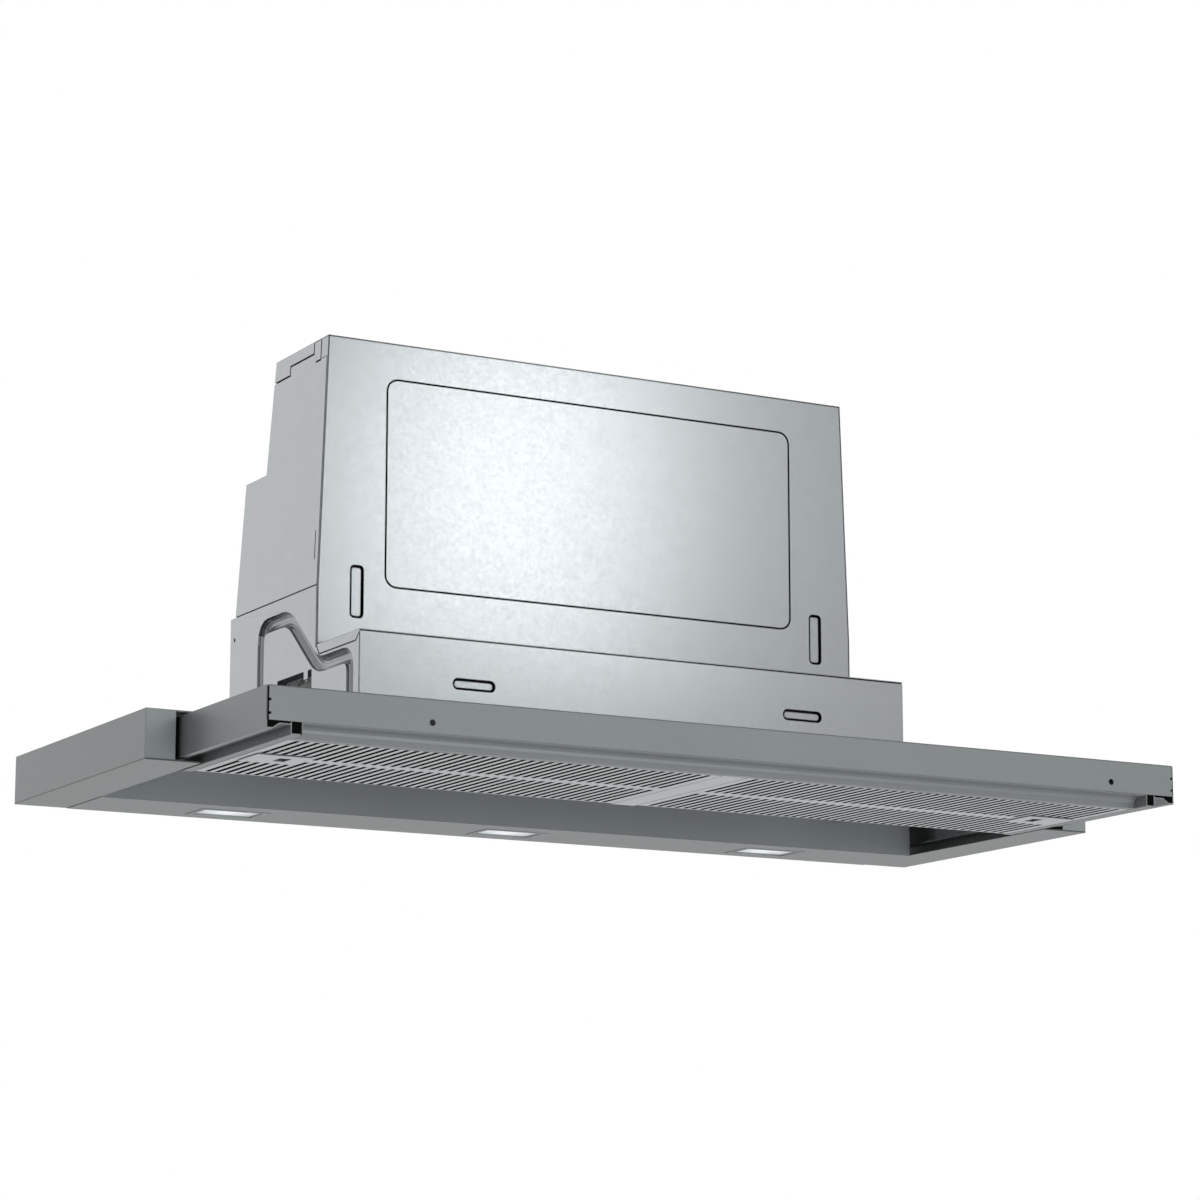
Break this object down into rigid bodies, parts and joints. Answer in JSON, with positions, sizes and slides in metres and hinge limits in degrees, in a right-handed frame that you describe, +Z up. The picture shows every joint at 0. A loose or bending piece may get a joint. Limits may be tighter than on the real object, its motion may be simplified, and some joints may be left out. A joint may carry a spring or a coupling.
{
  "type": "pull-out range hood",
  "caption": "Slim built-in range hood with a filter drawer that slides out of a flat frame, a lamp strip along the wall, hinged slotted filters and a stepped steel blower housing.",
  "frame": {"origin": "centre of the bounding box at the underside, with the drawer pulled out as in the picture", "axes": "+Z up; +X to the cook's right, along the width; -Y towards the cook, the way the drawer slides out"},
  "size_m": [0.898, 0.455, 0.389],
  "materials": {
    "satin_paint": "satin metallic grey",
    "zinc": "galvanised sheet, faint spangle",
    "aluminium": "fine satin",
    "steel": "zinc-plated",
    "lamp_white": "translucent white",
    "grey_plastic": "fine matte grain",
    "black_plastic": "fine matte grain",
    "board_green": "lacquered circuit board"
  },
  "bodies": {
    "hood_frame": {"frame_side_left": "satin_paint", "frame_side_right": "satin_paint", "end_cap_left": "satin_paint", "end_cap_right": "satin_paint", "lamp_strip": "satin_paint", "lamp_bezel_left": "grey_plastic", "lamp_lens_left": "lamp_white", "lamp_bezel_middle": "grey_plastic", "lamp_lens_middle": "lamp_white", "lamp_bezel_right": "grey_plastic", "lamp_lens_right": "lamp_white", "led_board": "board_green", "deck_left": "satin_paint", "deck_right": "satin_paint", "front_rail": "satin_paint", "runner_fixed_left": "steel", "runner_fixed_right": "steel", "box_front": "zinc", "lower_side_left": "zinc", "lower_side_right": "zinc", "lower_back": "zinc", "tower_front": "zinc", "tower_side_left": "zinc", "tower_side_right": "zinc", "tower_back": "zinc", "corner_step_left": "zinc", "corner_step_right": "zinc", "lid": "zinc", "outlet_collar": "black_plastic", "scroll_shell": "grey_plastic", "scroll_cheek": "grey_plastic", "motor": "steel", "motor_bracket": "steel", "blower_beam": "zinc", "control_box": "black_plastic", "mains_gland": "black_plastic", "terminal_block": "black_plastic", "drawer_switch": "black_plastic"},
    "drawer": {"drawer_front": "satin_paint", "drawer_side_left": "satin_paint", "drawer_side_right": "satin_paint", "drawer_cover": "satin_paint", "tray_rear_bar": "satin_paint", "tray_centre_bar": "aluminium", "runner_drawer_left": "steel", "runner_drawer_right": "steel"},
    "middle_rail_left": {"runner_middle_left": "steel"},
    "middle_rail_right": {"runner_middle_right": "steel"},
    "filter_left": {"filter_pan_left": "aluminium", "filter_mesh_left": "aluminium"},
    "filter_right": {"filter_pan_right": "aluminium", "filter_mesh_right": "aluminium"},
    "latch_left": {"filter_latch_left": "aluminium"},
    "latch_right": {"filter_latch_right": "aluminium"},
    "fan": {"fan_wheel": "black_plastic", "motor_shaft": "steel"},
    "flap_left": {"outlet_flap_left": "grey_plastic"},
    "flap_right": {"outlet_flap_right": "grey_plastic"},
    "plunger": {"switch_plunger": "grey_plastic"}
  },
  "joints": [
    {"name": "drawer_slide", "type": "slide", "parent": "hood_frame", "child": "drawer", "axis": [0, 1, 0], "range_m": [0, 0.165]},
    {"name": "middle_rail_left_slide", "type": "slide", "parent": "hood_frame", "child": "middle_rail_left", "axis": [0, 1, 0], "range_m": [0, 0.0825]},
    {"name": "middle_rail_right_slide", "type": "slide", "parent": "hood_frame", "child": "middle_rail_right", "axis": [0, 1, 0], "range_m": [0, 0.0825]},
    {"name": "filter_left_hinge", "type": "hinge", "parent": "drawer", "child": "filter_left", "pos_m": [-0.012, -0.11245, 0.0008], "axis": [0, -1, 0], "range_deg": [0, 75]},
    {"name": "filter_right_hinge", "type": "hinge", "parent": "drawer", "child": "filter_right", "pos_m": [0.012, -0.11245, 0.0008], "axis": [0, 1, 0], "range_deg": [0, 75]},
    {"name": "latch_left_slide", "type": "slide", "parent": "filter_left", "child": "latch_left", "axis": [1, 0, 0], "range_m": [0, 0.006], "stiffness_N_per_m": 150},
    {"name": "latch_right_slide", "type": "slide", "parent": "filter_right", "child": "latch_right", "axis": [-1, 0, 0], "range_m": [0, 0.006], "stiffness_N_per_m": 150},
    {"name": "fan_spin", "type": "hinge", "parent": "hood_frame", "child": "fan", "pos_m": [-0.07, 0.108, 0.25], "axis": [0, 1, 0], "continuous": true},
    {"name": "flap_left_hinge", "type": "hinge", "parent": "hood_frame", "child": "flap_left", "pos_m": [0, 0.108, 0.3535], "axis": [0, 1, 0], "range_deg": [0, 80]},
    {"name": "flap_right_hinge", "type": "hinge", "parent": "hood_frame", "child": "flap_right", "pos_m": [0, 0.108, 0.3535], "axis": [0, -1, 0], "range_deg": [0, 80]},
    {"name": "plunger_slide", "type": "slide", "parent": "hood_frame", "child": "plunger", "axis": [0, 0, 1], "range_m": [0, 0.002], "stiffness_N_per_m": 300}
  ],
  "couplings": [
    {"joint": "middle_rail_left_slide", "follows": "drawer_slide", "ratio": 0.5},
    {"joint": "middle_rail_right_slide", "follows": "drawer_slide", "ratio": 0.5}
  ]
}
